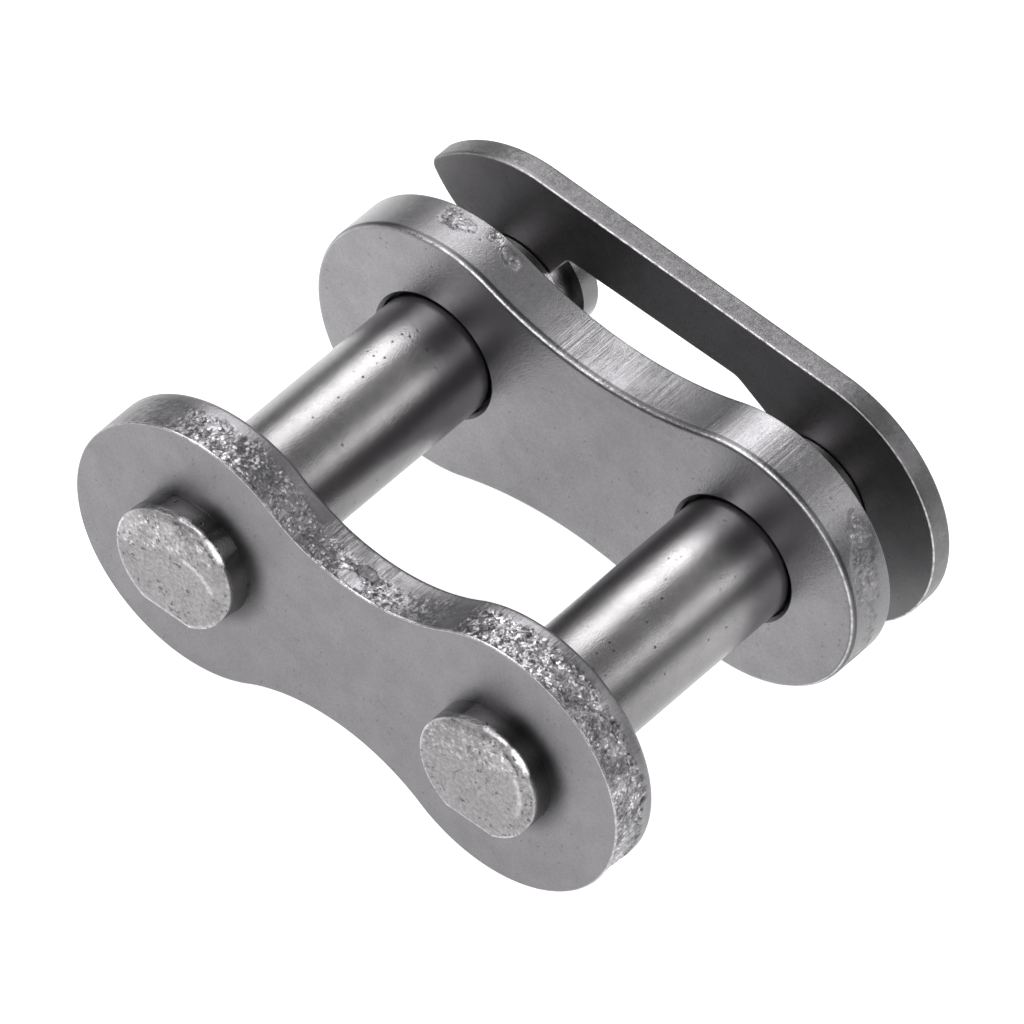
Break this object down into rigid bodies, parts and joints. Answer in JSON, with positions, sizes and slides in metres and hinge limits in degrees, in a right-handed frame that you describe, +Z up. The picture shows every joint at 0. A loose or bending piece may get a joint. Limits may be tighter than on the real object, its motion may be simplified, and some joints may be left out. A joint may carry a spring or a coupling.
{
  "type": "roller chain connecting link",
  "caption": "Connecting link of a roller chain: pins riveted into one plate, a slip-on loose plate and a spring clip in the pins' grooves.",
  "frame": {"origin": "middle of the link's box, on the surface that its lower edges stand on", "axes": "+X from the left pin to the right pin, the clip's closed end; +Y along the pins from the fixed plate to the clip; +Z up"},
  "size_m": [0.0228, 0.019, 0.0112],
  "materials": {
    "plate_steel": "matt tumbled steel",
    "pin_steel": "satin, finely ground shank",
    "clip_steel": "dull spring steel"
  },
  "bodies": {
    "link": {"fixed_plate": "plate_steel", "left_pin": "pin_steel", "right_pin": "pin_steel", "spring_clip": "clip_steel"},
    "loose_plate": {"loose_plate": "plate_steel"}
  },
  "joints": [
    {"name": "loose_plate_slide", "type": "slide", "parent": "link", "child": "loose_plate", "axis": [0, 1, 0], "range_m": [-0.01014, 0.00211]}
  ]
}
